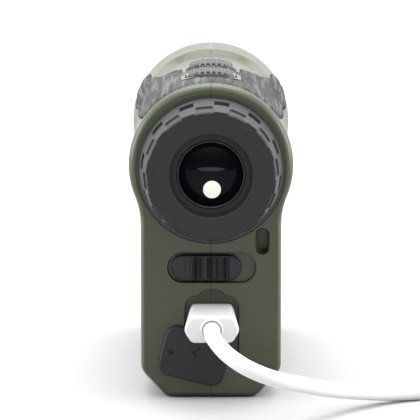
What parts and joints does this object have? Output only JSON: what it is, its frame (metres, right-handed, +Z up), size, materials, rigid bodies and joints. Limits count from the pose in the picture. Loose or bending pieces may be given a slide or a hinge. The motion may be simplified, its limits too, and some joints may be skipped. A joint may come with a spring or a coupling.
{
  "type": "laser rangefinder",
  "caption": "Hand-held monocular laser rangefinder with dioptre eyepiece, top buttons, rear slide switch, open port cover and plugged-in charging lead, standing on its flat base.",
  "frame": {"origin": "centre of the base footprint of the rangefinder, on the surface it stands on", "axes": "+Y is the aiming direction from eyepiece to objective, +X is to the user's right, +Z is up"},
  "size_m": [0.1462, 0.1431, 0.0831],
  "materials": {
    "olive_shell": "fine moulded texture, semi-gloss",
    "black_plastic": "fine moulded texture",
    "black_rubber": "matte, grained",
    "coated_glass": "purple anti-reflection coating",
    "dark_alloy": "black anodised",
    "steel": "satin",
    "gilt_brass": "plated",
    "circuit_board": "solder mask",
    "plated_steel": "nickel plated",
    "battery_sleeve": "shrink sleeve",
    "white_plastic": "smooth soft plastic"
  },
  "bodies": {
    "housing": {"left_shell": "olive_shell", "right_shell": "olive_shell", "front_plate": "black_plastic", "rubber_grip": "black_rubber", "shell_screws": "steel", "objective_lens": "coated_glass", "objective_retainer": "black_plastic", "receiver_lens": "coated_glass", "receiver_tube": "black_plastic", "emitter_lens": "coated_glass", "emitter_tube": "black_plastic", "optics_chassis": "dark_alloy", "roof_prism": "coated_glass", "prism_cage": "black_plastic", "lcd_reticle": "coated_glass", "laser_diode": "gilt_brass", "photodiode": "gilt_brass", "main_board": "circuit_board", "key_board": "circuit_board", "key_switches": "steel", "slide_switch": "black_plastic", "usb_socket": "plated_steel", "usb_board": "circuit_board", "battery_cell": "battery_sleeve", "battery_contacts": "gilt_brass", "eyepiece_barrel": "black_plastic", "eyepiece_oring": "black_rubber"},
    "diopter": {"diopter_ring": "black_plastic", "eyecup_sleeve": "black_rubber"},
    "lens_carriage": {"lens_cell": "dark_alloy", "eye_lens": "coated_glass", "field_lens": "coated_glass", "lens_spacer": "black_plastic", "eye_lens_retainer": "black_plastic", "cam_pin": "steel"},
    "power_key": {"power_button": "black_plastic"},
    "mode_key": {"mode_button": "black_plastic"},
    "slope_slider": {"slope_knob": "black_plastic", "slider_carrier": "steel"},
    "port_cover": {"usb_cover": "black_rubber"},
    "lead": {"lead_plug_body": "white_plastic", "lead_plug_tip": "plated_steel", "lead_strain_relief": "white_plastic", "lead_cable": "white_plastic", "lead_coil": "white_plastic", "lead_tie": "black_rubber", "lead_tail": "white_plastic", "usb_a_body": "white_plastic", "usb_a_shell": "plated_steel"}
  },
  "joints": [
    {"name": "diopter_turn", "type": "hinge", "parent": "housing", "child": "diopter", "pos_m": [0, -0.05, 0.0592], "axis": [0, 1, 0], "range_deg": [-120, 120]},
    {"name": "lens_travel", "type": "slide", "parent": "housing", "child": "lens_carriage", "axis": [0, 1, 0], "range_m": [-0.001, 0.001]},
    {"name": "power_button_press", "type": "slide", "parent": "housing", "child": "power_key", "axis": [0, 0, -1], "range_m": [0, 0.0008], "stiffness_N_per_m": 1200, "springref_m": -0.0004},
    {"name": "mode_button_press", "type": "slide", "parent": "housing", "child": "mode_key", "axis": [0, 0, -1], "range_m": [0, 0.0008], "stiffness_N_per_m": 1200, "springref_m": -0.0004},
    {"name": "slope_slide", "type": "slide", "parent": "housing", "child": "slope_slider", "axis": [1, 0, 0], "range_m": [0, 0.0034]},
    {"name": "usb_cover_swivel", "type": "hinge", "parent": "housing", "child": "port_cover", "pos_m": [0.00205, -0.045, 0.0123], "axis": [0, -1, 0], "range_deg": [0, 20]},
    {"name": "lead_pull", "type": "slide", "parent": "housing", "child": "lead", "axis": [0, -1, 0], "range_m": [0, 0.03]}
  ],
  "couplings": [
    {"joint": "lens_travel", "follows": "diopter_turn", "m_per_rad": 0.000477}
  ]
}
